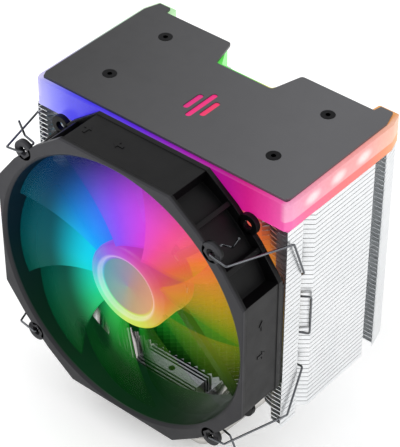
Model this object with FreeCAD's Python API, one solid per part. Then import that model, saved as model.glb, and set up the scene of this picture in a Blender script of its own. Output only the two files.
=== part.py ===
import FreeCAD, Part
import math
import os

# Tower cooler for a desktop processor: a stack of fins on six heat pipes, a lit top cover
# and one 140 mm fan held by two wire clips.
# Millimetres. Origin at the middle of the base's contact face, +Z up, fan towards -Y.

os.makedirs("parts", exist_ok=True)
Vec = FreeCAD.Vector
AXIS_X = Vec(1, 0, 0)
AXIS_Y = Vec(0, 1, 0)
AXIS_Z = Vec(0, 0, 1)
ORIGIN = Vec(0, 0, 0)

# Whole cooler
total_height = 159.0
side_gap = 0.3

# Fin stack
fin_count = 45
fin_pitch = 2.5
fin_sheet = 0.4
fin_bottom = 33.5
fin_half_width = 70.2
fin_front = -7.6
fin_back = 72.0
tooth_pitch = 4.0
tooth_depth = 2.0
tooth_half_span = 56.0
tooth_tip_middle = -5.2
tooth_tip_rise = 4.0
tooth_rise_span = 52.0
tab_inner = 64.7
tab_root = 60.0
tab_root_front = -1.6

# Clip grooves down both sides of the stack (front one; the rear one mirrors it)
groove_floor = 63.2
groove_step = 2.8
groove_floor_end = 5.3
groove_slant_end = 11.3
groove_mirror = 31.9

# Top cover, light band and what fixes them
cover_sheet = 1.5
cover_half_width = 68.24
cover_front = -6.2
cover_back = 66.0
cover_tab_back = 69.95
cover_tab_width = 8.9
cover_corner = (1.5, 3.0)
cover_tab_corner = (2.6, 8.0)
notch_half_width = (20.0, 15.6)
notch_bottom = 50.0
cover_screw_x = 45.6
cover_screw_y = (13.4, 50.6)
screw_head_radius = 3.25
screw_radius = 1.5
window_middle = (0.0, 21.5)
window_slots = ((-4.6, 12.0), (0.0, 20.0), (4.6, 12.0))
window_slot_width = 2.8
band_overhang = 2.0
band_wall = 2.2
band_bottom_gap = 0.2
led_board_inset = 6.0
led_board_sheet = 1.2
led_size = (5.0, 1.6, 4.4)
led_side_places = (8.5, 26.0, 43.5)
led_front_places = (-43.75, -26.25, -8.75, 8.75, 26.25, 43.75)

# Base and heat pipes
base_size = (36.0, 40.0)
pipe_radius = 3.0
pipe_height = 5.6
pipe_pitch = 6.3
saddle_flange_top = 10.6
saddle_half_length = 17.5
saddle_half_width = 8.4
saddle_top = 19.2
saddle_strip_half = 2.85
saddle_fin_pitch = 1.9
saddle_fin_sheet = 0.95
saddle_hole_radius = 1.65
saddle_hole_depth = 8.0
pipe_bend = 9.0
pipe_exit_bend = 5.8
pipe_top = 149.5
pipe_exits = (33.0, 29.9, 24.5, 22.7, 21.8, 26.6)
pipe_knee = 27.5
pipe_seats = ((49.4, 8.3), (50.5, 18.3), (38.7, 5.4), (31.7, 8.5), (32.1, 15.2), (39.9, 37.4))
pipe_hole_gap = 0.05

# Fan
fan_centre_height = 88.9
fan_front = -35.3
fan_rear = -9.3
fan_facets = ((69.8, 30.5), (58.5, 45.5), (45.5, 58.5), (30.5, 69.8))
fan_barrel_radius = 69.0
fan_wall_face = 69.4
fan_bore_radius = 67.5
fan_lip_radius = 69.0
flange_sheet = 2.6
ear_offset = 52.5
ear_radius = 5.0
ear_hole_radius = 2.15
ear_rib = 2.2
strut_count = 4
motor_mount_radius = 22.0
motor_mount_front = -11.3
strut_width = 4.0

# Rotor and motor
hub_radius = 21.5
hub_front = -29.7
hub_rear = -14.3
hub_wall = 1.8
hub_recess_radius = 15.5
hub_recess = 1.6
blade_count = 9
blade_tip_radius = 66.2
blade_front = -29.3
blade_rear = -15.3
blade_thickness = 1.5
blade_camber = 0.10
blade_cover = 0.96
blade_sweep = 16.0
shaft_radius = 1.5
bearing_clearance = 0.03
sleeve_radius = 2.55
housing_radius = 4.0
core_radius = 15.0
core_front = -22.5
core_rear = -15.5
yoke_radius = 19.6
yoke_sheet = 0.8
magnet_inner_radius = 16.4
fan_led_count = 8

# Wire clips
wire_radius = 0.5
clip_pin = (52.5, -33.4)
clip_side = 71.8
clip_groove = (65.9, 6.1)
clip_handle = (71.4, 9.2)

fin_top = fin_bottom + (fin_count - 1) * fin_pitch + fin_sheet
cover_bottom = total_height - cover_sheet
made = []


def save(name, shape):
    """Write one sub-part and note its solids."""
    shape.exportStep("parts/" + name + ".step")
    made.append(name)
    state = "ok" if shape.isValid() else "NOT VALID"
    print(f"{name:18s} solids {len(shape.Solids):3d}  volume {shape.Volume:10.1f}  {state}")


def box(x_range, y_range, z_range):
    size = [high - low for low, high in (x_range, y_range, z_range)]
    return Part.makeBox(size[0], size[1], size[2], Vec(x_range[0], y_range[0], z_range[0]))


def plate(points, bottom, thickness):
    """Straight prism over an outline in plan."""
    corners = [Vec(x, y, bottom) for x, y in points]
    face = Part.Face(Part.makePolygon(corners + corners[:1]))
    return face.extrude(Vec(0, 0, thickness))


def mirrored(right_half):
    """Closed outline from its right-hand half, listed front to back."""
    return right_half + [(-x, y) for x, y in reversed(right_half)]


def upright_cylinder(x, y, bottom, height, radius):
    return Part.makeCylinder(radius, height, Vec(x, y, bottom), AXIS_Z)


def fan_cylinder(radius, front, rear):
    """Cylinder on the fan's axis between two depths."""
    return Part.makeCylinder(radius, rear - front, Vec(0, front, fan_centre_height), AXIS_Y)


def fan_ring(outer, inner, front, rear):
    return fan_cylinder(outer, front, rear).cut(fan_cylinder(inner, front - 1, rear + 1))


def turned_on_fan(shape, degrees):
    copy = shape.copy()
    copy.rotate(Vec(0, 0, fan_centre_height), AXIS_Y, degrees)
    return copy


def wire_path(points, bend):
    """Straight runs joined by tangent arcs; bend is one radius or one for each inner point."""
    radii = bend if isinstance(bend, (list, tuple)) else [bend] * (len(points) - 2)
    edges = []
    start = points[0]
    for before, corner, after, radius in zip(points, points[1:], points[2:], radii):
        back = (before - corner).normalize()
        ahead = (after - corner).normalize()
        half_angle = back.getAngle(ahead) / 2
        setback = radius / math.tan(half_angle)
        first = corner + back * setback
        last = corner + ahead * setback
        middle_way = (back + ahead).normalize()
        middle = corner + middle_way * (radius / math.sin(half_angle) - radius)
        edges.append(Part.LineSegment(start, first).toShape())
        edges.append(Part.Arc(first, middle, last).toShape())
        start = last
    edges.append(Part.LineSegment(start, points[-1]).toShape())
    return Part.Wire(edges)


def rod(points, bend, radius):
    """Round rod along straight runs and tangent arcs."""
    spine = wire_path(points, bend)
    section = Part.Wire(Part.makeCircle(radius, points[0], points[1] - points[0]))
    return spine.makePipeShell([section], True, False)


# ---- fin stack -------------------------------------------------------------------------

def behind(y):
    """Depth of the rear groove's feature that mirrors one of the front groove's."""
    return 2 * groove_mirror - y


def fin_outline():
    front = []
    steps = int(tooth_half_span / (tooth_pitch / 2))
    for step in range(0, steps + 1):
        x = step * tooth_pitch / 2
        tip = tooth_tip_middle + tooth_tip_rise * (x / tooth_rise_span) ** 2
        front.append((x, tip + (tooth_depth if step % 2 else 0)))
    side = [
        (tab_root, tab_root_front),
        (tab_inner, fin_front),
        (fin_half_width, fin_front),
        (fin_half_width, groove_step),
        (groove_floor, groove_step),
        (groove_floor, groove_floor_end),
        (fin_half_width, groove_slant_end),
        (fin_half_width, behind(groove_slant_end)),
        (groove_floor, behind(groove_floor_end)),
        (groove_floor, behind(groove_step)),
        (fin_half_width, behind(groove_step)),
        (67.0, fin_back),
        (58.6, fin_back),
        (57.4, cover_back + 1.8),
        (notch_half_width[0] + 1.2, cover_back + 1.8),
        (notch_half_width[1] + 1.2, notch_bottom + 1.8),
    ]
    return mirrored(front[1:] + side) + [front[0]]


def make_fin():
    """One flat fin at height zero, pierced for the twelve pipe ends."""
    fin = plate(fin_outline(), 0, fin_sheet)
    holes = [
        upright_cylinder(sign * x, y, -1, fin_sheet + 2, pipe_radius + pipe_hole_gap)
        for x, y in pipe_seats for sign in (1, -1)
    ]
    return fin.cut(Part.makeCompound(holes))


def make_fin_stack():
    fin = make_fin()
    fins = []
    for level in range(fin_count):
        copy = fin.copy()
        copy.translate(Vec(0, 0, fin_bottom + level * fin_pitch))
        fins.append(copy)
    return Part.makeCompound(fins)


# ---- base and heat pipes ---------------------------------------------------------------

def pipe_rows():
    return [(row - 2.5) * pipe_pitch for row in range(len(pipe_seats))]


def groove_cutters(gap):
    length = base_size[0] + 10
    return [
        Part.makeCylinder(pipe_radius + gap, length, Vec(-length / 2, y, pipe_height), AXIS_X)
        for y in pipe_rows()
    ]


def make_base_plate():
    half_x, half_y = base_size[0] / 2, base_size[1] / 2
    body = box((-half_x, half_x), (-half_y, half_y), (0, pipe_height))
    upright = [edge for edge in body.Edges if abs(edge.tangentAt(0).z) > 0.9]
    body = body.makeFillet(1.5, upright)
    return body.cut(Part.makeCompound(groove_cutters(0.02)))


def make_saddle_block():
    half_x, half_y = base_size[0] / 2, base_size[1] / 2
    body = box((-half_x, half_x), (-half_y, half_y), (pipe_height + 0.02, saddle_flange_top))
    upright = [edge for edge in body.Edges if abs(edge.tangentAt(0).z) > 0.9]
    body = body.makeFillet(1.5, upright)
    length = (-saddle_half_length, saddle_half_length)
    strip = box(length, (-saddle_strip_half, saddle_strip_half), (saddle_flange_top, saddle_top))
    body = body.fuse(strip)
    for step in range(3):
        outer = saddle_half_width - step * saddle_fin_pitch
        for y_range in ((outer - saddle_fin_sheet, outer), (-outer, saddle_fin_sheet - outer)):
            body = body.fuse(box(length, y_range, (saddle_flange_top, saddle_top)))
    body = body.removeSplitter()
    hole = upright_cylinder(0, 0, saddle_top - saddle_hole_depth, saddle_hole_depth + 1, saddle_hole_radius)
    return body.cut(Part.makeCompound(groove_cutters(0.02) + [hole]))


def make_heat_pipe(row, seat):
    x, y = seat
    row_y = pipe_rows()[row]
    turn_x = pipe_exits[row]
    points = [
        Vec(-x, y, pipe_top),
        Vec(-x, y, pipe_knee),
        Vec(-turn_x, row_y, pipe_height),
        Vec(turn_x, row_y, pipe_height),
        Vec(x, y, pipe_knee),
        Vec(x, y, pipe_top),
    ]
    pipe = rod(points, [pipe_bend, pipe_exit_bend, pipe_exit_bend, pipe_bend], pipe_radius)
    ends = [Part.makeSphere(pipe_radius, Vec(sign * x, y, pipe_top)) for sign in (1, -1)]
    keep = box((-100, 100), (-100, 100), (pipe_top, pipe_top + 2 * pipe_radius))
    caps = [end.common(keep) for end in ends]
    return pipe.multiFuse(caps).removeSplitter()


# ---- top cover -------------------------------------------------------------------------

def cover_outline(extra=0.0):
    """Plan outline of the cover, grown outwards by extra."""
    side = cover_half_width + extra
    tab_inner_x = cover_half_width - cover_tab_width - extra
    half_wide, half_narrow = notch_half_width[0] - extra, notch_half_width[1] - extra
    right = [
        (side - cover_corner[0], cover_front - extra),
        (side, cover_front - extra + cover_corner[1]),
        (side, cover_tab_back + extra - cover_tab_corner[1]),
        (side - cover_tab_corner[0], cover_tab_back + extra),
        (tab_inner_x, cover_tab_back + extra),
        (tab_inner_x - 0.8, cover_back + extra),
        (half_wide, cover_back + extra),
        (half_narrow, notch_bottom + extra),
    ]
    return mirrored(right)


def round_upright_edges(solid, radius, chosen):
    edges = []
    for edge in solid.Edges:
        middle = edge.CenterOfMass
        if abs(edge.tangentAt(edge.FirstParameter).z) > 0.9 and chosen(middle.x, middle.y):
            edges.append(edge)
    return solid.makeFillet(radius, edges)


def slot_prism(x, y, length, width, bottom, height):
    half = (length - width) / 2
    body = box((x - width / 2, x + width / 2), (y - half, y + half), (bottom, bottom + height))
    ends = [upright_cylinder(x, y + sign * half, bottom, height, width / 2) for sign in (1, -1)]
    return body.multiFuse(ends).removeSplitter()


def cover_screw_places():
    return [(sign * cover_screw_x, y) for sign in (1, -1) for y in cover_screw_y]


def screw_sink(x, y, gap):
    """Countersink cone with its cylinder, for a screw's head or the hole that takes it."""
    depth = cover_sheet - 0.05
    return Part.makeCone(screw_radius + gap, screw_head_radius + gap, depth,
                         Vec(x, y, total_height - depth), AXIS_Z)


def make_top_cover():
    body = plate(cover_outline(), cover_bottom, cover_sheet)
    body = round_upright_edges(body, 2.0, lambda x, y: abs(x) < notch_half_width[0] + 1 and y > 0)
    cutters = []
    for x, y in cover_screw_places():
        cutters.append(upright_cylinder(x, y, cover_bottom - 1, cover_sheet + 2, screw_radius + 0.15))
        cutters.append(screw_sink(x, y, 0.15))
    for x, length in window_slots:
        cutters.append(slot_prism(window_middle[0] + x, window_middle[1], length, window_slot_width,
                                  cover_bottom - 1, cover_sheet + 2))
    return body.cut(Part.makeCompound(cutters))


def make_light_window():
    """Frosted insert: a flat pad under the cover with three ribs that fill its slots."""
    pad = box((-9, 9), (window_middle[1] - 13, window_middle[1] + 13), (cover_bottom - 1.2, cover_bottom - 0.02))
    ribs = [
        slot_prism(window_middle[0] + x, window_middle[1], length - 0.2, window_slot_width - 0.2,
                   cover_bottom - 0.5, cover_sheet)
        for x, length in window_slots
    ]
    return pad.multiFuse(ribs).removeSplitter()


def make_light_band():
    bottom = fin_top + band_bottom_gap
    height = cover_bottom - 0.02 - bottom
    outer = plate(cover_outline(band_overhang), bottom, height)
    outer = round_upright_edges(outer, 1.8, lambda x, y: y < 0 or abs(x) < notch_half_width[0] + 1)
    inner = plate(cover_outline(band_overhang - band_wall), bottom - 1, height + 2)
    return outer.cut(inner)


def make_cover_posts():
    posts = []
    for x, y in cover_screw_places():
        post = upright_cylinder(x, y, fin_top, cover_bottom - 0.02 - fin_top, 3.0)
        bore = upright_cylinder(x, y, fin_top + 2, cover_bottom, screw_radius + 0.02)
        posts.append(post.cut(bore))
    return Part.makeCompound(posts)


def make_cover_screws():
    screws = []
    socket_radius = 1.25
    for x, y in cover_screw_places():
        shank = upright_cylinder(x, y, cover_bottom - 6.0, 6.0 + cover_sheet - 0.5, screw_radius)
        head = screw_sink(x, y, 0.0)
        corners = []
        for side in range(6):
            angle = math.radians(60 * side)
            corners.append((x + socket_radius * math.cos(angle), y + socket_radius * math.sin(angle)))
        socket = plate(corners, total_height - 1.3, 2.0)
        screws.append(shank.fuse(head).removeSplitter().cut(socket))
    return Part.makeCompound(screws)


def make_led_board():
    """U-shaped strip that stands inside the light band, chips outwards."""
    side = cover_half_width - led_board_inset
    front = cover_front + led_board_inset
    inner_side = side - led_board_sheet
    outline = [
        (-side, front), (side, front), (side, 56.0), (inner_side, 56.0),
        (inner_side, front + led_board_sheet), (-inner_side, front + led_board_sheet),
        (-inner_side, 56.0), (-side, 56.0),
    ]
    return plate(outline, fin_top, 9.0)


def make_top_leds():
    side = cover_half_width - led_board_inset
    front = cover_front + led_board_inset
    along, thick, high = led_size
    low = fin_top + 2.6
    chips = []
    for y in led_side_places:
        for sign in (1, -1):
            x_range = sorted((sign * (side + 0.02), sign * (side + thick)))
            chips.append(box(x_range, (y - along / 2, y + along / 2), (low, low + high)))
    for x in led_front_places:
        chips.append(box((x - along / 2, x + along / 2), (front - thick, front - 0.02), (low, low + high)))
    return Part.makeCompound(chips)


# ---- fan -------------------------------------------------------------------------------

def fan_polygon(front, rear):
    """Twelve-sided flange with four round ears."""
    quarter = list(fan_facets)
    outline = quarter + [(-x, z) for x, z in reversed(quarter)]
    outline += [(-x, -z) for x, z in quarter]
    outline += [(x, -z) for x, z in reversed(quarter)]
    corners = [Vec(x, front, fan_centre_height + z) for x, z in outline]
    body = Part.Face(Part.makePolygon(corners + corners[:1])).extrude(Vec(0, rear - front, 0))
    ears = [
        Part.makeCylinder(ear_radius, rear - front, Vec(x, front, fan_centre_height + z), AXIS_Y)
        for x in (-ear_offset, ear_offset) for z in (-ear_offset, ear_offset)
    ]
    return body.multiFuse(ears).removeSplitter()


def make_fan_frame():
    front_flange = fan_polygon(fan_front, fan_front + flange_sheet)
    rear_flange = fan_polygon(fan_rear - flange_sheet, fan_rear)
    barrel = fan_cylinder(fan_barrel_radius, fan_front, fan_rear)
    ribs = []
    for turn in (45, 135, 225, 315):
        for lean in (-9, 9):
            rib = box((fan_bore_radius + 0.5, 73.2), (fan_front + 1, fan_rear - 1),
                      (fan_centre_height - ear_rib / 2, fan_centre_height + ear_rib / 2))
            ribs.append(turned_on_fan(rib, turn + lean))
    walls = []
    for turn in (0, 90, 180, 270):
        wall = box((60, fan_wall_face), (fan_front + 1, fan_rear - 1),
                   (fan_centre_height - fan_facets[0][1], fan_centre_height + fan_facets[0][1]))
        walls.append(turned_on_fan(wall, turn))
    shell = front_flange.multiFuse([rear_flange, barrel] + ribs + walls)
    bore = fan_cylinder(fan_bore_radius, fan_front - 1, fan_rear + 1)
    lip_depth = fan_lip_radius - fan_bore_radius
    lip = Part.makeCone(fan_lip_radius, fan_bore_radius, lip_depth, Vec(0, fan_front, fan_centre_height), AXIS_Y)
    holes = [
        Part.makeCylinder(ear_hole_radius, fan_rear - fan_front + 2,
                          Vec(x, fan_front - 1, fan_centre_height + z), AXIS_Y)
        for x in (-ear_offset, ear_offset) for z in (-ear_offset, ear_offset)
    ]
    shell = shell.cut(Part.makeCompound([bore, lip] + holes))
    mount = fan_cylinder(motor_mount_radius, motor_mount_front, fan_rear)
    struts = []
    for number in range(strut_count):
        strut = box((motor_mount_radius - 2, fan_bore_radius + 1), (fan_rear - 3.2, fan_rear),
                    (fan_centre_height - strut_width / 2, fan_centre_height + strut_width / 2))
        struts.append(turned_on_fan(strut, 45 + 360 / strut_count * number))
    board_room = fan_cylinder(motor_mount_radius + side_gap, fan_rear - 5, motor_mount_front)
    return shell.multiFuse([mount] + struts).cut(board_room).removeSplitter()


def make_fan_pads():
    """Two soft strips between the fan's rear flange and the fin tabs."""
    height = 2 * fan_facets[0][1] - 6
    middle = fan_centre_height
    pads = []
    for sign in (1, -1):
        x_range = sorted((sign * (tab_inner + 0.3), sign * 69.4))
        pads.append(box(x_range, (fan_rear, fin_front), (middle - height / 2, middle + height / 2)))
    return Part.makeCompound(pads)


def blade_section(radius):
    """Thin cambered section across the blade, standing square to a radius."""
    share = (radius - hub_radius) / (blade_tip_radius - hub_radius)
    spread = 2 * math.pi * radius / blade_count * blade_cover
    front, rear = blade_front, blade_rear
    leading = Vec(radius, front, spread / 2)
    trailing = Vec(radius, rear, -spread / 2)
    chord = trailing - leading
    normal = chord.cross(AXIS_X).normalize()
    middle = (leading + trailing) * 0.5 + normal * (chord.Length * blade_camber)
    thickness = normal * blade_thickness
    lower = Part.Arc(leading, middle, trailing).toShape()
    tail = Part.LineSegment(trailing, trailing + thickness).toShape()
    upper = Part.Arc(trailing + thickness, middle + thickness, leading + thickness).toShape()
    nose = Part.LineSegment(leading + thickness, leading).toShape()
    section = Part.Wire([lower, tail, upper, nose])
    section.translate(Vec(0, 0, fan_centre_height))
    section.rotate(Vec(0, 0, fan_centre_height), AXIS_Y, -blade_sweep * share)
    return section


def make_impeller():
    radii = (hub_radius - 4, 33.0, 45.0, 57.0, blade_tip_radius + 6)
    blade = Part.makeLoft([blade_section(radius) for radius in radii], True, False)
    blade = blade.common(fan_ring(blade_tip_radius, hub_radius - 1, fan_front, fan_rear))
    blades = [turned_on_fan(blade, 360 / blade_count * number) for number in range(blade_count)]
    hub = fan_cylinder(hub_radius, hub_front, hub_rear)
    front_edge = [edge for edge in hub.Edges if abs(edge.CenterOfMass.y - hub_front) < 0.01 and edge.Length > 100]
    hub = hub.makeFillet(3.0, front_edge)
    hub = hub.multiFuse(blades)
    hollow = fan_cylinder(hub_radius - hub_wall, hub_front + 2 * hub_wall, hub_rear + 1)
    recess = fan_cylinder(hub_recess_radius, hub_front - 1, hub_front + hub_recess)
    return hub.cut(Part.makeCompound([hollow, recess])).removeSplitter()


def make_rotor_yoke():
    front = hub_front + 2 * hub_wall + 0.02
    cup = fan_ring(yoke_radius, yoke_radius - yoke_sheet, front, hub_rear + 0.4)
    disc = fan_ring(yoke_radius, shaft_radius, front, front + yoke_sheet)
    boss = fan_ring(3.4, shaft_radius, front, front + 1.6)
    return cup.multiFuse([disc, boss]).removeSplitter()


def make_magnet_ring():
    outer = yoke_radius - yoke_sheet - 0.02
    return fan_ring(outer, magnet_inner_radius, core_front - 1.5, hub_rear)


def make_stator_core():
    poles = []
    for number in range(4):
        neck = box((housing_radius, core_radius - 1.5), (core_front, core_rear),
                   (fan_centre_height - 1.6, fan_centre_height + 1.6))
        poles.append(turned_on_fan(neck, 45 + 90 * number))
        shoe = fan_ring(core_radius, core_radius - 1.8, core_front, core_rear)
        wedge = box((5, 20), (core_front - 1, core_rear + 1), (fan_centre_height - 9.0, fan_centre_height + 9.0))
        poles.append(turned_on_fan(shoe.common(wedge), 45 + 90 * number))
    centre = fan_cylinder(5.6, core_front, core_rear)
    bore = fan_cylinder(housing_radius + 0.02, core_front - 1, core_rear + 1)
    return centre.multiFuse(poles).cut(bore).removeSplitter()


def make_stator_coils():
    coils = []
    for number in range(4):
        outer = box((6.2, 12.6), (core_front - 1.6, core_rear + 1.6),
                    (fan_centre_height - 3.6, fan_centre_height + 3.6))
        inner = box((6.0, 12.8), (core_front - 0.1, core_rear + 0.1),
                    (fan_centre_height - 1.7, fan_centre_height + 1.7))
        coils.append(turned_on_fan(outer.cut(inner), 45 + 90 * number))
    return Part.makeCompound(coils)


def make_rotor_shaft():
    """Shaft with the groove that takes its retaining ring."""
    shaft = fan_cylinder(shaft_radius, hub_front + 2 * hub_wall + 0.02, -11.95)
    return shaft.cut(fan_ring(shaft_radius + 1, shaft_radius - 0.35, -12.6, -12.1))


def make_fan_leds():
    chips = []
    for number in range(fan_led_count):
        chip = box((18.9, 21.4), (-13.7, -12.92), (fan_centre_height - 1.6, fan_centre_height + 1.6))
        chips.append(turned_on_fan(chip, 360 / fan_led_count * number))
    return Part.makeCompound(chips)


def make_clip(sign):
    """Spring wire from one ear hole, along the groove with a finger loop, to the other."""
    pin_x, pin_y = clip_pin
    low, high = fan_centre_height - ear_offset, fan_centre_height + ear_offset
    front = fan_front - wire_radius - 0.35
    groove_x, groove_y = clip_groove
    handle_x, handle_y = clip_handle
    hook = [(pin_x + 8.8, pin_y + 5.4, 60.5), (pin_x + 5.6, pin_y + 5.4, 54.0), (pin_x, pin_y + 5.4, ear_offset)]
    route = [(x, y, fan_centre_height + z) for x, y, z in hook]
    route += [
        (pin_x, front, high),
        (61.4, front, 139.8),
        (clip_side, -5.2, 137.2),
        (clip_side - 0.5, 3.2, 116.0),
        (groove_x, groove_y, 109.0),
        (groove_x, groove_y, 98.0),
        (handle_x, handle_y, 98.5),
        (handle_x, handle_y, 77.2),
        (groove_x, groove_y, 77.6),
        (groove_x, groove_y, 58.8),
        (clip_side - 0.5, 5.3, 60.5),
        (clip_side, -5.2, 38.9),
        (61.4, front, 38.2),
        (pin_x, front, low),
    ]
    route += [(x, y, fan_centre_height - z) for x, y, z in reversed(hook)]
    points = [Vec(sign * x, y, z) for x, y, z in route]
    return rod(points, 1.0, wire_radius)


save("base_plate", make_base_plate())
save("saddle_block", make_saddle_block())
for row, seat in enumerate(pipe_seats):
    save(f"heat_pipe_{row + 1}", make_heat_pipe(row, seat))
save("fin_stack", make_fin_stack())
save("cover_posts", make_cover_posts())
save("led_board", make_led_board())
save("top_leds", make_top_leds())
save("light_band", make_light_band())
save("light_window", make_light_window())
save("top_cover", make_top_cover())
save("cover_screws", make_cover_screws())
save("fan_frame", make_fan_frame())
save("fan_pads", make_fan_pads())
save("bearing_housing", fan_ring(housing_radius, sleeve_radius + 0.05, -24.0, motor_mount_front))
save("bearing_sleeve", fan_ring(sleeve_radius, shaft_radius + bearing_clearance, -23.6, -12.9))
save("thrust_pad", fan_cylinder(2.0, -11.62, motor_mount_front))
save("stator_core", make_stator_core())
save("stator_coils", make_stator_coils())
save("motor_board", fan_ring(motor_mount_radius, housing_radius + 0.1, -12.9, -11.6))
save("fan_leds", make_fan_leds())
save("impeller", make_impeller())
save("rotor_yoke", make_rotor_yoke())
save("magnet_ring", make_magnet_ring())
save("rotor_shaft", make_rotor_shaft())
save("retaining_ring", fan_ring(2.3, shaft_radius - 0.3, -12.55, -12.15))
save("clip_right", make_clip(1))
save("clip_left", make_clip(-1))
print(len(made), "nodes")
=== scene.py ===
import math
import bmesh
import bpy
from mathutils import Matrix, Vector


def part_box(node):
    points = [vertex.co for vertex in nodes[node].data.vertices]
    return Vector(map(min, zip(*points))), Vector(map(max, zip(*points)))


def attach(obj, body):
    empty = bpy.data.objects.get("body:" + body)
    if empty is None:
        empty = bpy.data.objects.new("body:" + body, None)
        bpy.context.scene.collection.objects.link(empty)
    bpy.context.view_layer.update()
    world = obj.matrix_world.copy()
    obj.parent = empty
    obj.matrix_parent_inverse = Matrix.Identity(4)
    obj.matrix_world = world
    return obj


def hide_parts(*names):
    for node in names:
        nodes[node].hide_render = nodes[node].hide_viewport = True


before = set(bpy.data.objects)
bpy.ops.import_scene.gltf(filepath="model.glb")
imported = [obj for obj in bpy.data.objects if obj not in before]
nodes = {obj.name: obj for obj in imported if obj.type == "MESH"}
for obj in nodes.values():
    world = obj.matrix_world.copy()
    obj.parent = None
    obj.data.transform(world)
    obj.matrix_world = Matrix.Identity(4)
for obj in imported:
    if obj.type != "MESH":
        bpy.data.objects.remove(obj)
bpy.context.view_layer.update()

# Tower cooler with a lit cover and a 140 mm fan. Metres; the fan is on the -Y side.
mm = 0.001
fanLow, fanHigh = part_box("fan_frame")
finLow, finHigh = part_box("fin_stack")
bandLow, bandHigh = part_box("light_band")
coverLow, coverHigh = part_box("top_cover")
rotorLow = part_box("impeller")[0]
fanMiddle = Vector((0, (fanLow.y + fanHigh.y) / 2, (fanLow.z + fanHigh.z) / 2))
print("frame loaded,", len(nodes), "nodes")


def tone(code):
    # six hex digits as the linear colour that a shader takes
    parts = [int(code[i:i + 2], 16) / 255 for i in (0, 2, 4)]
    linear = [p / 12.92 if p <= 0.04045 else ((p + 0.055) / 1.055) ** 2.4 for p in parts]
    return (*linear, 1.0)


class Term:
    # a socket that can be added, scaled and raised like a number
    def __init__(self, finish, socket):
        self.finish = finish
        self.socket = socket

    def do(self, operation, *values):
        return self.finish.add("ShaderNodeMath", {"operation": operation}, dict(enumerate(values)))

    def __add__(self, other):
        return self.do("ADD", self, other)

    def __radd__(self, other):
        return self.do("ADD", other, self)

    def __sub__(self, other):
        return self.do("SUBTRACT", self, other)

    def __rsub__(self, other):
        return self.do("SUBTRACT", other, self)

    def __mul__(self, other):
        return self.do("MULTIPLY", self, other)

    def __rmul__(self, other):
        return self.do("MULTIPLY", other, self)

    def __truediv__(self, other):
        return self.do("DIVIDE", self, other)

    def __pow__(self, other):
        return self.do("POWER", self, other)

    def __abs__(self):
        return self.do("ABSOLUTE", self)


class Finish:
    # one material: add() makes any node, put() feeds the shader
    def __init__(self, name, **constants):
        self.material = bpy.data.materials.new(name)
        self.material.use_nodes = True
        self.tree = self.material.node_tree
        self.shader = self.tree.nodes["Principled BSDF"]
        self.put(**constants)
        self.place = self.add("ShaderNodeTexCoord", {}, {}, "Object")

    def add(self, kind, settings, inputs, output=0):
        node = self.tree.nodes.new(kind)
        for key, value in settings.items():
            if key == "stops":
                self.fillRamp(node.color_ramp, value)
            else:
                setattr(node, key, value)
        for key, value in inputs.items():
            self.feed(node.inputs[key], value)
        return Term(self, node.outputs[output])

    def feed(self, socket, value):
        if isinstance(value, Term):
            self.tree.links.new(value.socket, socket)
        else:
            socket.default_value = value

    def fillRamp(self, ramp, stops):
        while len(ramp.elements) > 1:
            ramp.elements.remove(ramp.elements[-1])
        for number, (position, colour) in enumerate(stops):
            element = ramp.elements[0] if number == 0 else ramp.elements.new(position)
            element.position = position
            element.color = colour

    def put(self, **values):
        for key, value in values.items():
            self.feed(self.shader.inputs[key.replace("_", " ")], value)

    def centred(self, point):
        return self.add("ShaderNodeMapping", {}, {"Vector": self.place, "Location": [-v for v in point]})

    def axes(self, vector):
        node = self.add("ShaderNodeSeparateXYZ", {}, {"Vector": vector}).socket.node
        return [Term(self, output) for output in node.outputs]

    def turn(self, x, y):
        # share of a turn from -X through -Y, +X and back
        return self.add("ShaderNodeMath", {"operation": "ARCTAN2"}, {0: y, 1: x}) / (2 * math.pi) + 0.5

    def noise(self, scale, detail=2.0, stretch=(1, 1, 1)):
        spot = self.add("ShaderNodeMapping", {}, {"Vector": self.place, "Scale": stretch})
        return self.add("ShaderNodeTexNoise", {}, {"Vector": spot, "Scale": scale, "Detail": detail})

    def ramp(self, value, stops):
        return self.add("ShaderNodeValToRGB", {"stops": [(p, tone(c)) for p, c in stops]}, {"Fac": value})

    def blend(self, factor, first, second, how="MIX"):
        inputs = {0: factor, 6: first, 7: second}
        return self.add("ShaderNodeMix", {"data_type": "RGBA", "blend_type": how}, inputs, 2)

    def dim(self, colour, share):
        # a colour scaled by a number or a socket
        return self.blend(share, (0, 0, 0, 1), colour)

    def span(self, value, low, high, toLow=0.0, toHigh=1.0, smooth=False):
        inputs = {0: value, 1: low, 2: high, 3: toLow, 4: toHigh}
        kind = "SMOOTHSTEP" if smooth else "LINEAR"
        return self.add("ShaderNodeMapRange", {"clamp": True, "interpolation_type": kind}, inputs)

    def bump(self, height, distance, strength=0.5):
        return self.add("ShaderNodeBump", {},
                        {"Height": height, "Distance": distance, "Strength": strength})


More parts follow.
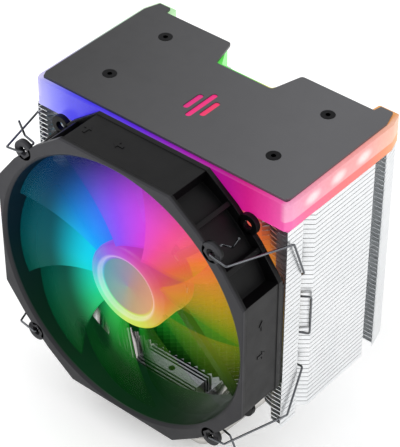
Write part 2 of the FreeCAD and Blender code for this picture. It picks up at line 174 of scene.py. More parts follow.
# Light colours, by share of a turn: left 0, front or bottom 0.25, right 0.5, back or top 0.75
light = {
    "band": [(0.00, "6f9a86"), (0.04, "7a7fb8"), (0.083, "b4b2ee"), (0.095, "7d7df4"), (0.107, "5651ee"),
             (0.125, "463ce8"), (0.20, "5a20d8"), (0.25, "7a18c0"), (0.32, "a010a8"), (0.375, "b8148a"),
             (0.393, "d01d85"), (0.406, "e13a97"), (0.418, "eb62aa"), (0.439, "e85a8c"), (0.491, "ea6066"),
             (0.531, "ea6658"), (0.557, "e8804c"), (0.568, "e4925c"), (0.60, "e0a050"), (0.65, "d8c840"),
             (0.70, "8adf38"), (0.78, "4fd838"), (0.86, "58d850"), (0.918, "c4ebbc"), (0.96, "90c8a0"),
             (1.00, "6f9a86")],
    "blade": [(0.000, "0ac8d7"), (0.056, "0cc8af"), (0.111, "14be7d"), (0.167, "2cb050"), (0.222, "0e8a24"),
              (0.278, "2a7a20"), (0.333, "3a7020"), (0.389, "4a7a18"), (0.444, "6a8010"), (0.500, "a0861a"),
              (0.556, "cf8a1e"), (0.611, "e0643c"), (0.667, "e44a90"), (0.722, "c840d4"), (0.778, "8a4ce8"),
              (0.833, "3c69e8"), (0.889, "1991ea"), (0.944, "0ebee4"), (1.000, "0ac8d7")],
    "hub": [(0.000, "4dbdd9"), (0.083, "5feebf"), (0.167, "8eea8a"), (0.250, "cae559"), (0.333, "cbd83b"),
            (0.417, "d7b53f"), (0.500, "e08a3f"), (0.583, "dd5c5f"), (0.667, "d54694"), (0.750, "ba3bc9"),
            (0.833, "944edf"), (0.917, "5f81e1"), (1.000, "4dbdd9")],
    # bore: painted light on the fan frame's bore
    "bore": [(0.00, "04161f"), (0.10, "051f14"), (0.20, "062a12"), (0.28, "06250f"), (0.40, "0a140a"),
             (0.55, "0c0a08"), (0.75, "08070c"), (0.85, "060a1c"), (1.00, "04161f")],
    "disc": [(0.0, "43969a"), (0.45, "8d8a90"), (0.7, "b58a74"), (1.0, "d4966c")],
    "seeThrough": [(0.00, 0.92), (0.11, 0.97), (0.20, 0.95), (0.24, 0.60), (0.29, 0.14), (0.43, 0.10),
                   (0.50, 0.20), (0.60, 0.42), (0.70, 0.70), (0.80, 0.88), (1.00, 0.92)],
    "bandStrength": 0.95,
    "hubStrength": 0.9,
    "bladeStrength": 1.1,
    # finStrength and boreStrength set painted light on the fins' front tips and the frame's bore
    "finStrength": 1.15,
    "boreStrength": 1.0,
}

plastics = {
    "cover": {"dark": "303031", "light": "363638", "roughness": 0.38, "grain": 3800},
    "pad": {"dark": "101010", "light": "18181a", "roughness": 0.7, "grain": 1800},
    "board": {"dark": "0e1c14", "light": "142a1c", "roughness": 0.5, "grain": 1800},
    "magnet": {"dark": "222224", "light": "2c2c2e", "roughness": 0.6, "grain": 1500},
    "chip": {"dark": "e8e4d0", "light": "f4f0e0", "roughness": 0.4, "grain": 900},
}
metals = {
    "pipe": {"dark": "a9a8a6", "light": "d2cfca", "roughness": 0.2, "stretch": (1, 1, 1), "scale": 400},
    "saddle": {"dark": "9a9d9f", "light": "b8babc", "roughness": 0.3, "stretch": (1, 12, 12), "scale": 400},
    "spring": {"dark": "3c3e42", "light": "77797d", "roughness": 0.2, "stretch": (1, 1, 1), "scale": 500},
    "screw": {"dark": "141415", "light": "242426", "roughness": 0.4, "stretch": (1, 1, 1), "scale": 500},
    "brass": {"dark": "a08040", "light": "c09850", "roughness": 0.25, "stretch": (1, 1, 1), "scale": 400},
    "core": {"dark": "7a7c80", "light": "989a9e", "roughness": 0.4, "stretch": (1, 1, 1), "scale": 400},
    "wire": {"dark": "8a4220", "light": "b05a2a", "roughness": 0.3, "stretch": (1, 1, 1), "scale": 400},
}


def plasticFinish(name, look, metallic=0.0):
    finish = Finish(name, Metallic=metallic)
    colour = finish.blend(finish.noise(45, 3), tone(look["dark"]), tone(look["light"]))
    rough = finish.span(finish.noise(120, 4), 0.3, 0.7, look["roughness"] - 0.05, look["roughness"] + 0.07)
    finish.put(Base_Color=colour, Roughness=rough, Normal=finish.bump(finish.noise(look["grain"]), 0.00004))
    return finish.material


def metalFinish(name, look):
    finish = Finish(name, Metallic=1.0)
    streak = finish.noise(look["scale"], 3, look["stretch"])
    colour = finish.blend(finish.noise(60), tone(look["dark"]), tone(look["light"]))
    rough = finish.span(streak, 0.3, 0.7, look["roughness"] - 0.07, look["roughness"] + 0.08)
    finish.put(Base_Color=colour, Roughness=rough, Normal=finish.bump(streak, 0.00003, 0.4))
    return finish.material


# left and right are one paint, darker on the left and lighter on the right as a painted reflection
coverLook = {"left": "2b2b2d", "right": "57575a", "roughness": 0.36}


def coverFinish():
    # satin paint with a painted reflection that makes it lighter towards its right side
    finish = Finish("coverPaint", Metallic=0.2, Coat_Weight=0.1, Coat_Roughness=0.3)
    x, y, z = finish.axes(finish.place)
    # painted reflection: the paint gets lighter from left to right
    paintedLightSlope = finish.span(x + 0.35 * y, coverLow.x, coverHigh.x)
    patch = finish.noise(30, 4)
    colour = finish.blend(paintedLightSlope + 0.12 * patch - 0.06, tone(coverLook["left"]), tone(coverLook["right"]))
    base = coverLook["roughness"]
    rough = finish.span(finish.noise(160, 5), 0.3, 0.7, base - 0.05, base + 0.08)
    finish.put(Base_Color=colour, Roughness=rough, Normal=finish.bump(finish.noise(5200, 2), 0.00003, 0.35))
    return finish.material


bandLook = {"ridge": 0.1487, "spotRows": (8.5, 26.0, 43.5), "spotHeight": 0.1528,
            "spotHalf": (0.0046, 0.0026)}


def bandFinish():
    # frosted strip, paler above its ridge, with a soft spot of light over each chip on its long sides
    finish = Finish("frostedBand", Roughness=0.34, IOR=1.49)
    x, y, z = finish.axes(finish.place)
    middle = Vector((0, (bandLow.y + bandHigh.y) / 2, 0))
    mx, my, _ = finish.axes(finish.centred(middle))
    colour = finish.ramp(finish.turn(mx, my), light["band"])
    pale = finish.span(z, bandLook["ridge"] - 0.0002, bandLook["ridge"] + 0.0002)
    onSide = finish.span(abs(x), bandHigh.x - 0.004, bandHigh.x - 0.0015)
    spots = None
    for row in bandLook["spotRows"]:
        across = (y - row * mm) / bandLook["spotHalf"][0]
        upward = (z - bandLook["spotHeight"]) / bandLook["spotHalf"][1]
        one = finish.span((across * across + upward * upward) ** 0.5, 0.35, 1.5, 1.0, 0.0, True)
        spots = one if spots is None else spots + one
    mist = finish.noise(700, 3)
    lit = finish.blend(pale * onSide * (0.30 + 0.1 * mist), colour, tone("fff2f4"))
    lit = finish.blend(finish.span(spots * onSide, 0, 1, 0, 0.85), lit, tone("fff8f6"))
    shade = 0.84 + 0.16 * mist + finish.span(z, bandLow.z, bandHigh.z, 0.05, -0.12)
    finish.put(Base_Color=finish.dim(colour, 0.25), Emission_Color=finish.dim(lit, shade))
    finish.put(Emission_Strength=light["bandStrength"], Normal=finish.bump(mist, 0.0001, 0.3))
    return finish.material


def windowFinish():
    finish = Finish("windowGlow", Roughness=0.4)
    x, y, z = finish.axes(finish.place)
    colour = finish.ramp(finish.span(x, -0.008, 0.008), [(0, "d0107c"), (0.5, "ea1478"), (1, "f03050")])
    finish.put(Base_Color=finish.dim(colour, 0.1), Emission_Color=colour, Emission_Strength=0.9)
    finish.put(Normal=finish.bump(finish.noise(900), 0.00005, 0.3))
    return finish.material


# tint is the white of a painted highlight on the hub, at ringRadius
rotorLook = {"ringRadius": 0.0158, "discRadius": 0.0150, "tint": "ffffff", "clearSpot": (-0.023, -0.044),
             "clearSize": (0.005, 0.012), "tipFade": (0.054, 0.066)}


def hubFinish():
    # milky hub: bright ring round a duller sunk disc, with a white painted highlight on the disc's rounded
    # rim; its glow dims towards the rear
    finish = Finish("hubGlow", Roughness=0.35, Specular_IOR_Level=0.3)
    x, y, z = finish.axes(finish.centred(fanMiddle))
    radius = (x * x + z * z) ** 0.5
    colour = finish.ramp(finish.turn(x, z), light["hub"])
    discTone = finish.ramp(finish.span(x - 0.3 * z, -0.015, 0.015), light["disc"])
    disc = finish.span(radius, rotorLook["discRadius"] - 0.0015, rotorLook["discRadius"], 1.0, 0.0, True)
    # painted highlight: white mixed in along the rim of the sunk disc
    near = abs(radius - rotorLook["ringRadius"])
    edge = finish.span(near, 0.0, 0.0016, 1.0, 0.0, True)
    side = finish.span(y, rotorLow.y - fanMiddle.y + 0.003, fanHigh.y - fanMiddle.y, 0.0, 0.4)
    lit = finish.blend(disc, colour, discTone)
    lit = finish.blend(edge * 0.35, lit, tone(rotorLook["tint"]))
    lit = finish.dim(lit, (1 - side) * (0.9 + 0.1 * finish.noise(300)))
    finish.put(Base_Color=finish.dim(colour, 0.12), Emission_Color=lit,
               Emission_Strength=light["hubStrength"])
    finish.put(Normal=finish.bump(finish.noise(1500), 0.00003, 0.3))
    return finish.material


def spinLight(finish, point):
    # the fan's light by angle and radius, fading to the tips, later on the right than on the left
    x, y, z = finish.axes(finish.centred(point))
    radius = (x * x + z * z) ** 0.5
    fade = finish.span(radius - 0.30 * x - 0.16 * z, 0.030, 0.064, 1.0, 0.07, True)
    colour = finish.ramp(finish.turn(x, z), light["blade"])
    return finish.dim(colour, fade), colour, radius, x, z


def bladeFinish():
    # clear blades, almost see-through low on the right and dense on the left
    finish = Finish("bladeGlow", Roughness=0.5, Specular_IOR_Level=0.06)
    lit, colour, radius, x, z = spinLight(finish, fanMiddle)
    haze = finish.noise(160, 3)
    stops = [(turn, (share, share, share, 1.0)) for turn, share in light["seeThrough"]]
    alpha = finish.add("ShaderNodeValToRGB", {"stops": stops}, {"Fac": finish.turn(x, z)})
    across, upward = x - rotorLook["clearSpot"][0], z - rotorLook["clearSpot"][1]
    spot = finish.span((across * across + upward * upward) ** 0.5, *rotorLook["clearSize"], 0.15, 1.0, True)
    finish.put(Base_Color=finish.dim(colour, 0.08), Emission_Color=finish.dim(lit, 0.9 + 0.2 * haze))
    tips = finish.span(radius, *rotorLook["tipFade"], 1.0, 0.55, True)
    finish.put(Emission_Strength=light["bladeStrength"], Alpha=alpha * spot * tips)
    finish.put(Normal=finish.bump(haze, 0.0001, 0.15))
    return finish.material


finLook = {"dark": "dcdfe1", "light": "eff0f1", "roughness": (0.26, 0.44), "scale": 260}


def finFinish():
    # bright sheet; inside the fan's ring the front tips are painted dark as shade and given painted light in
    # the fan's colours
    finish = Finish("finMetal", Metallic=1.0)
    lit, glow, radius, x, z = spinLight(finish, Vector((0, 0, fanMiddle.z)))
    y = finish.axes(finish.place)[1]
    streak = finish.noise(finLook["scale"], 3, (1, 1, 14))
    colour = finish.blend(finish.noise(50), tone(finLook["dark"]), tone(finLook["light"]))
    rough = finish.span(streak, 0.3, 0.7, *finLook["roughness"])
    # painted shade and painted light on the front tips behind the fan's ring
    inRing = finish.span(radius, 0.062, 0.070, 1.0, 0.0, True)
    front = finish.span(y, -0.003, 0.012, 1.0, 0.0, True)
    shade = finish.blend(inRing * front, colour, tone("30332c"))
    finish.put(Base_Color=shade, Roughness=rough, Normal=finish.bump(streak, 0.00003, 0.4))
    finish.put(Emission_Color=finish.dim(lit, inRing * front), Emission_Strength=light["finStrength"])
    return finish.material


# barrel and face are one black plastic: the barrel is painted darker as shade, the face paler as a painted
# sheen
frameLook = {"barrel": "030304", "face": "343438", "roughness": 0.42, "grain": 2600, "faceDepth": 0.0008}


def frameFinish():
    # black moulding: the barrel is painted darker as painted shade and the front face paler as a painted
    # sheen, brightest to the upper left; its bore and struts get painted light in the fan's colours
    finish = Finish("framePlastic", Specular_IOR_Level=0.22)
    lit, tint, radius, x, z = spinLight(finish, fanMiddle)
    y = finish.axes(finish.centred(fanMiddle))[1]
    half = (fanHigh.y - fanLow.y) / 2
    # painted sheen on the front face, stronger towards the upper left
    face = finish.span(y, frameLook["faceDepth"] - half, 2 * frameLook["faceDepth"] - half, 1.0, 0.0)
    paintedSheenUpLeft = finish.span(z - 0.6 * x, -0.09, 0.09, 0.45, 1.0)
    colour = finish.blend(face * paintedSheenUpLeft, tone(frameLook["barrel"]), tone(frameLook["face"]))
    colour = finish.blend(finish.noise(45, 3) * 0.12, colour, tone("141416"))
    # painted light: the bore and the struts inside it glow in the fan's colours, though the frame is no lamp
    inBore = finish.span(radius, 0.0676, 0.0679, 1.0, 0.0)
    glow = finish.ramp(finish.turn(x, z), light["bore"])
    glow = finish.blend(finish.span(radius, 0.0655, 0.0665, 0.55, 0.0), glow, lit)
    base = frameLook["roughness"]
    rough = finish.span(finish.noise(120, 4), 0.3, 0.7, base - 0.05, base + 0.07)
    grain = finish.bump(finish.noise(frameLook["grain"]), 0.00004)
    finish.put(Base_Color=colour, Roughness=rough, Normal=grain)
    finish.put(Emission_Color=finish.dim(glow, inBore), Emission_Strength=light["boreStrength"])
    return finish.material


coverPaint = coverFinish()
framePlastic = frameFinish()
rubber = plasticFinish("rubber", plastics["pad"])
board = plasticFinish("board", plastics["board"])
magnetBlack = plasticFinish("magnetBlack", plastics["magnet"])
chipWhite = plasticFinish("chipWhite", plastics["chip"])
finMetal = finFinish()
pipeMetal = metalFinish("pipeMetal", metals["pipe"])
saddleMetal = metalFinish("saddleMetal", metals["saddle"])
springSteel = metalFinish("springSteel", metals["spring"])
screwSteel = metalFinish("screwSteel", metals["screw"])
brassMetal = metalFinish("brassMetal", metals["brass"])
coreSteel = metalFinish("coreSteel", metals["core"])
coilWire = metalFinish("coilWire", metals["wire"])
frostedBand = bandFinish()
windowGlow = windowFinish()
hubGlow = hubFinish()
bladeGlow = bladeFinish()

coats = {
    "base_plate": pipeMetal, "saddle_block": saddleMetal, "cover_posts": coreSteel, "led_board": board,
    "top_leds": chipWhite, "light_window": windowGlow, "cover_screws": screwSteel, "fan_pads": rubber,
    "bearing_housing": brassMetal, "bearing_sleeve": brassMetal, "thrust_pad": rubber,
    "stator_core": coreSteel, "stator_coils": coilWire, "motor_board": hubGlow, "fan_leds": chipWhite,
    "rotor_yoke": coreSteel, "magnet_ring": magnetBlack, "rotor_shaft": springSteel,
    "retaining_ring": springSteel, "clip_right": springSteel, "clip_left": springSteel,
}
for number in range(1, 7):
    coats[f"heat_pipe_{number}"] = pipeMetal
for name, coat in coats.items():
    nodes[name].data.materials.clear()
    nodes[name].data.materials.append(coat)
print("finishes on", len(coats), "nodes")


# Making and placing pieces
def makePiece(name, bm, coat, body, slot, *replaced, sharp=35):
    mesh = bpy.data.meshes.new(name)
    for face in bm.faces:
        face.smooth = True
    bm.to_mesh(mesh)
    bm.free()
    mesh.set_sharp_from_angle(angle=math.radians(sharp))
    mesh.materials.append(coat)
    piece = bpy.data.objects.new(name, mesh)
    bpy.context.scene.collection.objects.link(piece)
    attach(piece, body)
    if replaced:
        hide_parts(*replaced)
    return piece


def addModifier(piece, kind, **settings):
    modifier = piece.modifiers.new(kind.title(), kind)
    for key, value in settings.items():
        setattr(modifier, key, value)


def extrudeUp(bm, faces, step):
    # lifts faces by a step and leaves a closed slab
    grown = bmesh.ops.extrude_face_region(bm, geom=faces, use_keep_orig=True)
    lifted = [item for item in grown["geom"] if isinstance(item, bmesh.types.BMVert)]
    bmesh.ops.translate(bm, verts=lifted, vec=step)
    bmesh.ops.recalc_face_normals(bm, faces=bm.faces)


def softened(node, name, coat, slot, width, segments=2, angle=30):
    # the CAD shape with its triangles joined and its edges rounded
    bm = bmesh.new()
    bm.from_mesh(nodes[node].data)
    bmesh.ops.remove_doubles(bm, verts=bm.verts, dist=1e-6)
    bmesh.ops.dissolve_limit(bm, angle_limit=math.radians(0.4), verts=bm.verts, edges=bm.edges)
    edges = [e for e in bm.edges if len(e.link_faces) == 2 and e.calc_face_angle() > math.radians(angle)]
    bmesh.ops.bevel(bm, geom=edges, offset=width, affect="EDGES", segments=segments, profile=0.5,
                    material=-1, clamp_overlap=False)
    bmesh.ops.recalc_face_normals(bm, faces=bm.faces)
    piece = makePiece(name, bm, coat, "cooler", slot, node, sharp=50)
    addModifier(piece, "WEIGHTED_NORMAL", keep_sharp=True)
    return piece


# Fins: one flat sheet with toothed front, grooved sides and turned-down side edges, repeated upwards
fins = {"count": 45, "sheet": 0.4, "flange": 1.82, "toothPitch": 4.0, "toothDepth": 2.0, "toothSpan": 56.0,
        "tipMiddle": -5.2, "tipRise": 4.0, "riseSpan": 52.0, "tabRoot": (60.0, -1.6), "tabInner": 64.7,
        "groove": (63.2, 2.8, 5.3, 11.3), "mirror": 31.9,
        "back": [(67.0, 72.0), (58.6, 72.0), (57.4, 67.8), (21.2, 67.8), (16.8, 51.8)]}


def finOutline():
    halfWidth, front = finHigh.x / mm, finLow.y / mm
    floor, step, floorEnd, slantEnd = fins["groove"]
    steps = int(fins["toothSpan"] / (fins["toothPitch"] / 2))
    points = []
    for number in range(steps + 1):
        x = number * fins["toothPitch"] / 2
        tip = fins["tipMiddle"] + fins["tipRise"] * (x / fins["riseSpan"]) ** 2
        points.append((x, tip + fins["toothDepth"] * (number % 2)))
    grooveIn = [(halfWidth, step), (floor, step), (floor, floorEnd), (halfWidth, slantEnd)]
    grooveOut = [(x, 2 * fins["mirror"] - y) for x, y in reversed(grooveIn)]
    points += [fins["tabRoot"], (fins["tabInner"], front), (halfWidth, front)] + grooveIn + grooveOut
    return points + fins["back"], grooveIn, grooveOut


def addEdgeWall(bm, start, end, low, high, thickness):
    # a thin upright strip along one side edge, just inside it
    run = Vector(end) - Vector(start)
    inward = Vector((-run.y, run.x)).normalized() * thickness / 2
    middle = (Vector(start) + Vector(end)) / 2 + inward
    place = Matrix.Translation((middle.x, middle.y, (low + high) / 2))
    place @= Matrix.Rotation(math.atan2(run.y, run.x), 4, "Z")
    place @= Matrix.Diagonal((run.length, thickness, high - low, 1))
    bmesh.ops.create_cube(bm, size=1, matrix=place)


def makeFins():
    bm = bmesh.new()
    half, grooveIn, grooveOut = finOutline()
    outline = half + [(-x, y) for x, y in reversed(half[1:])]
    sheetFace = bm.faces.new([bm.verts.new((x, y, 0)) for x, y in outline])
    extrudeUp(bm, [sheetFace], (0, 0, fins["sheet"]))
    front = finLow.y / mm
    halfWidth = finHigh.x / mm
    runs = [((halfWidth, front), grooveIn[0]), (grooveIn[2], grooveIn[3]), (grooveIn[3], grooveOut[0]),
            (grooveOut[0], grooveOut[1]), (grooveOut[3], fins["back"][0])]
    for start, end in runs:
        for side in (1, -1):
            ends = [(side * start[0], start[1]), (side * end[0], end[1])][::side]
            addEdgeWall(bm, *ends, -fins["flange"], 0.02, fins["sheet"])
    bmesh.ops.scale(bm, verts=bm.verts, vec=(mm, mm, mm))
    pitch = (finHigh.z - finLow.z - fins["sheet"] * mm) / (fins["count"] - 1)
    bmesh.ops.translate(bm, verts=bm.verts, vec=(0, 0, finLow.z))
    piece = makePiece("finStack", bm, finMetal, "cooler", "fin_aluminium", "fin_stack", sharp=20)
    addModifier(piece, "ARRAY", count=fins["count"], use_relative_offset=False, use_constant_offset=True,
                constant_offset_displace=(0, 0, pitch))


makeFins()
print("fins")

# Rotor: a milky hub and nine clear blades
rotor = {"hubRadius": 21.5, "hubWall": 1.8, "frontFillet": 3.0, "recessRadius": 15.5, "recess": 1.6,
         "hubFront": -29.7, "hubRear": -14.3, "blades": 9, "tip": 66.2, "root": 20.6, "front": -29.3,
         "rear": -15.3, "cover": 1.32, "camber": 0.07, "sweep": 16.0, "thickness": 1.3, "turns": 96}


def makeHub():
    bm = bmesh.new()
    radius, front, fillet = rotor["hubRadius"], rotor["hubFront"], rotor["frontFillet"]
    inner, recess = radius - rotor["hubWall"], rotor["recessRadius"]
    profile = [(inner, rotor["hubRear"]), (radius, rotor["hubRear"])]
    for number in range(9):
        angle = math.radians(90 * number / 8)
        across, along = fillet * math.cos(angle), fillet * math.sin(angle)
        profile.append((radius - fillet + across, front + fillet - along))
    for number in range(5):
        angle = math.radians(90 * number / 4)
        profile.append((recess + 0.8 - 0.8 * math.sin(angle), front + 0.8 - 0.8 * math.cos(angle)))
    profile += [(recess, front + rotor["recess"]), (0, front + rotor["recess"])]
    profile += [(0, front + 2 * rotor["hubWall"]), (inner, front + 2 * rotor["hubWall"])]
    middle = fanMiddle.z / mm
    verts = [bm.verts.new((r, y, middle)) for r, y in profile]
    edges = [bm.edges.new((a, b)) for a, b in zip(verts, verts[1:] + verts[:1])]
    bmesh.ops.spin(bm, geom=verts + edges, cent=(0, 0, middle), axis=(0, 1, 0), angle=2 * math.pi,
                   steps=rotor["turns"], use_merge=True)
    bmesh.ops.remove_doubles(bm, verts=bm.verts, dist=1e-4)
    bmesh.ops.recalc_face_normals(bm, faces=bm.faces)
    bmesh.ops.scale(bm, verts=bm.verts, vec=(mm, mm, mm))
    makePiece("rotorHub", bm, hubGlow, "rotor", "blade_plastic", "impeller")


def bladePoint(along, outward):
    # along runs from the leading to the trailing edge, outward from root to tip
    radius = rotor["root"] + (rotor["tip"] - rotor["root"]) * outward
    spread = 2 * math.pi * radius / rotor["blades"] * rotor["cover"]
    depth = rotor["rear"] - rotor["front"]
    chord = math.hypot(depth, spread)
    bulge = 4 * along * (1 - along) * rotor["camber"] * chord
    y = rotor["front"] + depth * along - bulge * spread / chord + rotor["thickness"] / 2
    around = spread * (0.5 - along) - bulge * depth / chord
    angle = around / radius + math.radians(rotor["sweep"]) * outward
    return radius * math.cos(angle), y, radius * math.sin(angle)


def makeBlades():
    bm = bmesh.new()
    bmesh.ops.create_grid(bm, x_segments=14, y_segments=16, size=0.5)
    for vert in bm.verts:
        vert.co = bladePoint(vert.co.x + 0.5, vert.co.y + 0.5)
    first = bm.verts[:] + bm.edges[:] + bm.faces[:]
    for number in range(1, rotor["blades"]):
        copy = bmesh.ops.duplicate(bm, geom=first)["geom"]
        verts = [item for item in copy if isinstance(item, bmesh.types.BMVert)]
        turn = Matrix.Rotation(2 * math.pi * number / rotor["blades"], 3, "Y")
        bmesh.ops.rotate(bm, verts=verts, matrix=turn)
    bmesh.ops.solidify(bm, geom=bm.faces[:], thickness=rotor["thickness"])
    bmesh.ops.recalc_face_normals(bm, faces=bm.faces)
    bmesh.ops.scale(bm, verts=bm.verts, vec=(mm, mm, mm))
    bmesh.ops.translate(bm, verts=bm.verts, vec=(0, 0, fanMiddle.z))
    makePiece("rotorBlades", bm, bladeGlow, "rotor", "blade_plastic", "impeller", sharp=40)


makeHub()
makeBlades()
print("rotor")

# Shells with rounded edges
softened("top_cover", "coverPlate", coverPaint, "cover_paint", 0.25 * mm)
softened("saddle_block", "saddle", saddleMetal, "bare_aluminium", 0.12 * mm)
print("cover, band and saddle")

# Light band: a frosted wall that follows the cover's edge and steps in at the rear notch
strip = {"side": 70.24, "front": -8.2, "frontCut": (1.5, 3.0), "tabBack": 71.95, "tabCut": (2.6, 8.0),
         "tabInner": 57.34, "back": 66.6, "notchWide": 22.6, "notchNarrow": 13.9, "notchBottom": 52.0,
         "wall": 2.2, "edge": 0.35}


def makeBand():
    bm = bmesh.new()
    side, front = strip["side"], strip["front"]
    cutX, cutY = strip["frontCut"]
    tabX, tabY = strip["tabCut"]
    right = [(side - cutX, front), (side, front + cutY), (side, strip["tabBack"] - tabY),
             (side - tabX, strip["tabBack"]), (strip["tabInner"], strip["tabBack"]),
             (strip["tabInner"] - 0.8, strip["back"]), (strip["notchWide"], strip["back"]),
             (strip["notchNarrow"], strip["notchBottom"])]
    outline = [Vector(point) for point in right + [(-x, y) for x, y in reversed(right)]]
    sections = []
    for index, point in enumerate(outline):
        before, after = outline[index - 1], outline[(index + 1) % len(outline)]
        runs = [(point - before).normalized(), (after - point).normalized()]
        inward = [Vector((-run.y, run.x)) for run in runs]
        middle = (inward[0] + inward[1]).normalized()
        inner = point + middle * strip["wall"] / middle.dot(inward[0])
        low, high = bandLow.z / mm, bandHigh.z / mm
        sections.append([(point.x, point.y, low), (point.x, point.y, high), (inner.x, inner.y, high),
                         (inner.x, inner.y, low)])
    ringOf(bm, sections)
    bmesh.ops.recalc_face_normals(bm, faces=bm.faces)
    upright = [e for e in bm.edges if abs(e.verts[0].co.z - e.verts[1].co.z) > 1]
    bmesh.ops.bevel(bm, geom=[e for e in upright if e.calc_face_angle(0) > math.radians(20)], offset=1.0,
                    affect="EDGES", segments=4, profile=0.5, material=-1, clamp_overlap=True)
    edges = [e for e in bm.edges if e.calc_face_angle(0) > math.radians(60)]
    bmesh.ops.bevel(bm, geom=edges, offset=strip["edge"], affect="EDGES", segments=2, profile=0.5,
                    material=-1, clamp_overlap=True)
    bmesh.ops.recalc_face_normals(bm, faces=bm.faces)
    bmesh.ops.scale(bm, verts=bm.verts, vec=(mm, mm, mm))
    makePiece("lightBand", bm, frostedBand, "cooler", "frosted_plastic", "light_band", sharp=50)


# Fan frame: sections round the bore make barrel, flanges and flat walls; ears, ribs and struts are added
shroud = {"facets": [(69.8, 30.5), (58.5, 45.5), (45.5, 58.5), (30.5, 69.8)], "wall": 69.4, "wallTurn": 23.7,
          "barrel": 69.0, "bore": 67.5, "lip": 1.5, "flange": 2.6, "step": 3.0, "blend": 0.6, "edge": 0.3,
          "ear": 52.5, "earRadius": 5.0, "earHole": 2.15, "notchRadius": 71.4, "notchTurn": 2.0,
          "rib": (68.0, 73.2, 2.2, 9.0), "strut": (20.0, 68.5, 4.0, 3.2), "mount": (22.0, 2.0)}


def ringOf(bm, sections):
    # quads between neighbouring sections, closed both ways
    rows = [[bm.verts.new(point) for point in section] for section in sections]
    for row, after in zip(rows, rows[1:] + rows[:1]):
        for index in range(len(row)):
            ahead = (index + 1) % len(row)
            bm.faces.new((row[index], row[ahead], after[ahead], after[index]))


def onFan(radius, y, degrees):
    turn = math.radians(degrees)
    return Vector((radius * math.cos(turn), y, radius * math.sin(turn)))


def flangeRadius(degrees):
    # distance to the twelve-sided edge; degrees run from 0 to 90
    direction = Vector((math.cos(math.radians(degrees)), math.sin(math.radians(degrees))))
    reach = []
    corners = [Vector((shroud["facets"][0][0], -99))] + [Vector(c) for c in shroud["facets"]]
    corners += [Vector((-99, shroud["facets"][-1][1]))]
    for start, end in zip(corners, corners[1:]):
        normal = Vector((end.y - start.y, start.x - end.x)).normalized()
        if normal.dot(direction) > 0.01:
            reach.append(normal.dot(start) / normal.dot(direction))
    radius = min(reach)
    return min(radius, shroud["notchRadius"]) if abs(degrees - 45) < shroud["notchTurn"] else radius


def wallRadius(degrees):
    offset = min(degrees, 90 - degrees)
    if offset <= shroud["wallTurn"]:
        return shroud["wall"] / math.cos(math.radians(offset))
    return shroud["barrel"]


def frameSections():
    front, rear = fanLow.y / mm, fanHigh.y / mm
    flange, lip, bore, blend = shroud["flange"], shroud["lip"], shroud["bore"], shroud["blend"]
    corners = [math.degrees(math.atan2(z, x)) for x, z in shroud["facets"]]
    stops = corners + [shroud["wallTurn"] + blend, 90 - shroud["wallTurn"] - blend]
    for side in (-1, 1):
        edge = 45 + side * shroud["notchTurn"]
        stops += [edge - side * blend / 2, edge + side * blend / 2]
    steps = int(90 / shroud["step"])
    even = [number * shroud["step"] for number in range(steps)]
    stops += [turn for turn in even if min(abs(turn - stop) for stop in stops) > 0.7]
    sections = []
    for quarter in range(4):
        for turn in sorted(stops):
            edge, wall = flangeRadius(turn), wallRadius(turn)
            profile = [(bore + lip, front), (bore, front + lip), (bore, rear), (edge, rear),
                       (edge, rear - flange), (wall, rear - flange), (wall, front + flange),
                       (edge, front + flange), (edge, front)]
            sections.append([onFan(radius, y, 90 * quarter + turn) for radius, y in profile])
    return sections


def addBlock(bm, inner, outer, low, high, width, degrees):
    place = Matrix.Rotation(-math.radians(degrees), 4, "Y")
    place @= Matrix.Translation(((inner + outer) / 2, (low + high) / 2, 0))
    place @= Matrix.Diagonal((outer - inner, high - low, width, 1))
    bmesh.ops.create_cube(bm, size=1, matrix=place)


def addEar(bm, x, z, low, high):
    radii = [(shroud["earHole"], low), (shroud["earRadius"], low), (shroud["earRadius"], high),
             (shroud["earHole"], high)]
    middle = Vector((x, 0, z))
    ringOf(bm, [[middle + onFan(radius, y, 10 * number) for radius, y in radii] for number in range(36)])


def makeFanFrame():
    bm = bmesh.new()
    front, rear = fanLow.y / mm, fanHigh.y / mm
    ringOf(bm, frameSections())
    ribInner, ribOuter, ribWidth, ribTurn = shroud["rib"]
    strutInner, strutOuter, strutWidth, strutDepth = shroud["strut"]
    for number in range(4):
        middle = 45 + 90 * number
        for lean in (-ribTurn, ribTurn):
            addBlock(bm, ribInner, ribOuter, front + 1, rear - 1, ribWidth, middle + lean)
        addBlock(bm, strutInner, strutOuter, rear - strutDepth, rear, strutWidth, middle)
        ear = onFan(shroud["ear"] * math.sqrt(2), 0, middle)
        addEar(bm, ear.x, ear.z, front, front + shroud["flange"])
        addEar(bm, ear.x, ear.z, rear - shroud["flange"], rear)
    bmesh.ops.recalc_face_normals(bm, faces=bm.faces)
    edges = [e for e in bm.edges if e.calc_face_angle(0) > math.radians(40)]
    bmesh.ops.bevel(bm, geom=edges, offset=shroud["edge"], affect="EDGES", segments=2, profile=0.5,
                    material=-1, clamp_overlap=False)
    bmesh.ops.recalc_face_normals(bm, faces=bm.faces)
    bmesh.ops.scale(bm, verts=bm.verts, vec=(mm, mm, mm))
    bmesh.ops.translate(bm, verts=bm.verts, vec=(0, 0, fanMiddle.z))
    piece = makePiece("fanFrame", bm, framePlastic, "cooler", "frame_plastic", "fan_frame", sharp=30)
    addModifier(piece, "WEIGHTED_NORMAL", keep_sharp=True)


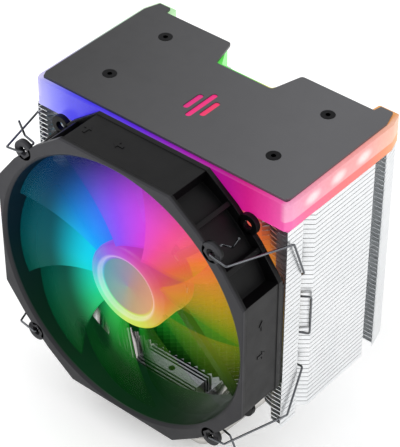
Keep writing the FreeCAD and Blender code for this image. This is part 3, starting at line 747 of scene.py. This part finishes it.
def makeMotorMount():
    # milky plate behind the rotor
    bm = bmesh.new()
    radius, depth = shroud["mount"]
    place = Matrix.Translation((0, fanHigh.y / mm - depth / 2, fanMiddle.z / mm))
    bmesh.ops.create_cone(bm, cap_ends=True, segments=96, radius1=radius, radius2=radius, depth=depth,
                          matrix=place @ Matrix.Rotation(math.radians(90), 4, "X"))
    edges = [e for e in bm.edges if e.calc_face_angle(0) > math.radians(40)]
    bmesh.ops.bevel(bm, geom=edges, offset=shroud["edge"], affect="EDGES", segments=2, profile=0.5,
                    material=-1, clamp_overlap=False)
    bmesh.ops.scale(bm, verts=bm.verts, vec=(mm, mm, mm))
    makePiece("motorMount", bm, hubGlow, "cooler", "frame_plastic", "fan_frame")


makeBand()
makeFanFrame()
makeMotorMount()
print("fan frame")

# Raised arrows for the airflow on the fan's top and side walls
marks = {"length": 5.5, "width": 4.2, "shaft": 1.3, "head": 2.6, "raise": 0.22,
         "top": [(-26.0, -22.0, 0), (-8.5, -22.0, 90)], "side": [(3.0, -22.0, 0), (-14.0, -22.0, 90)]}


def makeMarks():
    bm = bmesh.new()
    tail, neck, tip = -marks["length"] / 2, marks["length"] / 2 - marks["head"], marks["length"] / 2
    half, wide = marks["shaft"] / 2, marks["width"] / 2
    outline = [(-half, tail), (half, tail), (half, neck), (wide, neck), (0, tip),
               (-wide, neck), (-half, neck)]
    wall = fanHigh.x / mm - 0.45
    for side, spots in (("top", marks["top"]), ("side", marks["side"])):
        for along, y, turn in spots:
            face = bm.faces.new([bm.verts.new((px, py, 0)) for px, py in outline])
            before = set(bm.verts) - set(face.verts)
            extrudeUp(bm, [face], (0, 0, marks["raise"] + 0.1))
            verts = [v for v in bm.verts if v not in before]
            place = Matrix.Rotation(math.radians(turn), 4, "Z")
            place = Matrix.Translation((along, y, wall)) @ place
            if side == "side":
                place = Matrix.Rotation(math.radians(90), 4, "Y") @ place
            place = Matrix.Translation((0, 0, fanMiddle.z / mm)) @ place
            bmesh.ops.transform(bm, matrix=place, verts=verts)
    bmesh.ops.recalc_face_normals(bm, faces=bm.faces)
    bmesh.ops.scale(bm, verts=bm.verts, vec=(mm, mm, mm))
    makePiece("airflowMarks", bm, framePlastic, "cooler", "frame_plastic")


makeMarks()
print("airflow marks")

# Stage
stage = {"floorSize": 6.0, "floorTone": "ffffff", "world": 0.80, "lens": 152.0,
         "eye": (0.4204, -0.4784, 0.6335), "azimuth": 40.12, "elevation": 39.6,
         "lamps": [("keyLamp", (-0.6, -0.7, 1.2), 0.8, 5), ("rightLamp", (1.1, 0.2, 0.8), 0.6, 3)]}


def makeFloor():
    mesh = bpy.data.meshes.new("floor")
    bm = bmesh.new()
    bmesh.ops.create_grid(bm, x_segments=1, y_segments=1, size=stage["floorSize"] / 2)
    bmesh.ops.translate(bm, verts=bm.verts, vec=(0, 0, -0.0006))
    bm.to_mesh(mesh)
    bm.free()
    floor = bpy.data.objects.new("floor", mesh)
    bpy.context.scene.collection.objects.link(floor)
    white = Finish("floorWhite", Base_Color=tone(stage["floorTone"]), Roughness=0.9)
    white.put(Emission_Color=tone("ffffff"), Emission_Strength=0.22)
    mesh.materials.append(white.material)


def makeLights():
    world = bpy.data.worlds.new("studio")
    bpy.context.scene.world = world
    world.use_nodes = True
    background = world.node_tree.nodes["Background"]
    background.inputs["Color"].default_value = (1, 1, 1, 1)
    background.inputs["Strength"].default_value = stage["world"]
    for name, spot, size, power in stage["lamps"]:
        data = bpy.data.lights.new(name, "AREA")
        data.size = size
        data.energy = power
        lamp = bpy.data.objects.new(name, data)
        bpy.context.scene.collection.objects.link(lamp)
        lamp.location = spot
        lamp.rotation_euler = (Vector((0, 0, 0.09)) - Vector(spot)).to_track_quat("-Z", "Y").to_euler()


def makeCamera():
    camera = bpy.data.objects.new("camera", bpy.data.cameras.new("camera"))
    bpy.context.scene.collection.objects.link(camera)
    azimuth, elevation = math.radians(stage["azimuth"]), math.radians(stage["elevation"])
    back = Vector((math.sin(azimuth) * math.cos(elevation), -math.cos(azimuth) * math.cos(elevation),
                   math.sin(elevation)))
    camera.location = stage["eye"]
    camera.rotation_euler = (-back).to_track_quat("-Z", "Y").to_euler()
    camera.data.lens = stage["lens"]
    camera.data.clip_start = 0.01
    camera.data.clip_end = 20
    bpy.context.scene.camera = camera


makeFloor()
makeLights()
makeCamera()
bpy.context.scene.view_settings.view_transform = "Standard"
print("stage and camera")
